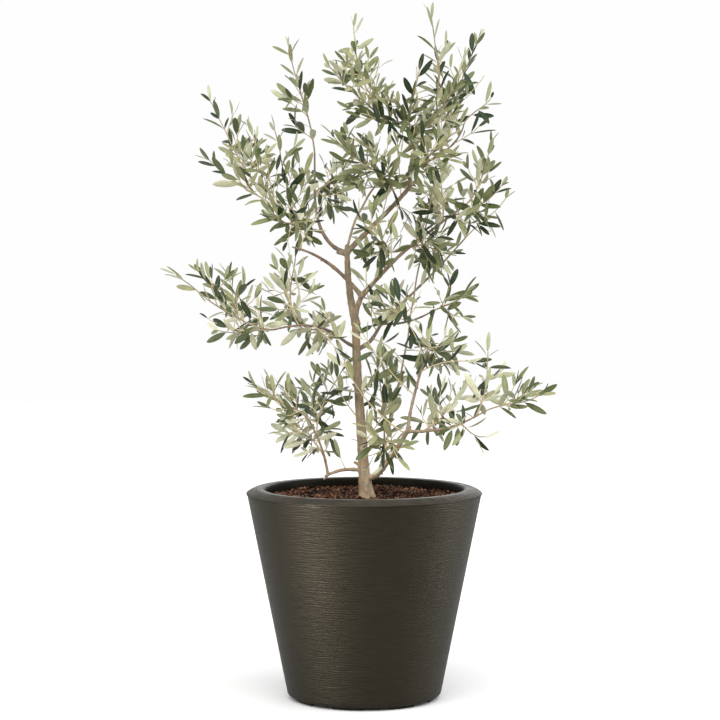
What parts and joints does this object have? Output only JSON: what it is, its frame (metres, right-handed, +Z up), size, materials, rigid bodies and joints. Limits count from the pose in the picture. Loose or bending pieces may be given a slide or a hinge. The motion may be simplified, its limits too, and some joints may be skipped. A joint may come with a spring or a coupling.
{
  "type": "potted olive tree",
  "caption": "Young olive tree with an open, airy crown of narrow grey-green leaves on a slender leaning trunk, in a tapered dark plastic pot filled with bark chips.",
  "frame": {"origin": "centre of the pot's flat underside", "axes": "+Z up through the pot, -Y towards the front view, +X to the right of that view"},
  "size_m": [0.7729, 0.5689, 1.4731],
  "materials": {
    "pot": "dark olive-brown plastic with fine combed ribs",
    "soil": "dark red-brown bark chips",
    "trunk_bark": "smooth beige-tan bark with scars",
    "bough_bark": "grey-brown bark",
    "leaves": "satin leaves, sage green above and silvery beneath"
  },
  "bodies": {
    "root": {"bough_crossing": "bough_bark", "bough_leader": "bough_bark", "bough_left": "bough_bark", "bough_left_mid": "bough_bark", "bough_left_out": "bough_bark", "bough_low_back": "bough_bark", "bough_low_left": "bough_bark", "bough_low_left_up": "bough_bark", "bough_low_right": "bough_bark", "bough_low_right_out": "bough_bark", "bough_low_right_up": "bough_bark", "bough_mid_lower": "bough_bark", "bough_mid_right": "bough_bark", "bough_mid_upper": "bough_bark", "bough_right": "bough_bark", "bough_top_right": "bough_bark", "bough_upper_left": "bough_bark", "bough_upper_right": "bough_bark", "leaves_centre_front": "leaves", "leaves_leader_foot": "leaves", "leaves_leader_front": "leaves", "leaves_leader_right": "leaves", "leaves_leader_side": "leaves", "leaves_leader_tip": "leaves", "leaves_left_back": "leaves", "leaves_left_front": "leaves", "leaves_left_high": "leaves", "leaves_left_inner": "leaves", "leaves_left_leader": "leaves", "leaves_left_mid_back": "leaves", "leaves_left_mid_tip": "leaves", "leaves_left_mid_under": "leaves", "leaves_left_mid_upper": "leaves", "leaves_left_outer": "leaves", "leaves_low_back": "leaves", "leaves_low_front": "leaves", "leaves_low_left_back": "leaves", "leaves_low_left_crossing": "leaves", "leaves_low_left_out": "leaves", "leaves_low_right_back": "leaves", "leaves_low_right_hanging": "leaves", "leaves_low_right_tip": "leaves", "leaves_low_right_upright": "leaves", "leaves_mid_front": "leaves", "leaves_mid_hanging": "leaves", "leaves_mid_lower": "leaves", "leaves_right_back": "leaves", "leaves_right_front": "leaves", "leaves_right_outer": "leaves", "leaves_right_tip": "leaves", "leaves_right_under": "leaves", "leaves_top_front": "leaves", "leaves_top_inner": "leaves", "leaves_top_left": "leaves", "leaves_upper_right": "leaves", "pot": "pot", "soil": "soil", "stem_left": "bough_bark", "stem_right": "bough_bark", "trunk": "trunk_bark"}
  },
  "joints": []
}
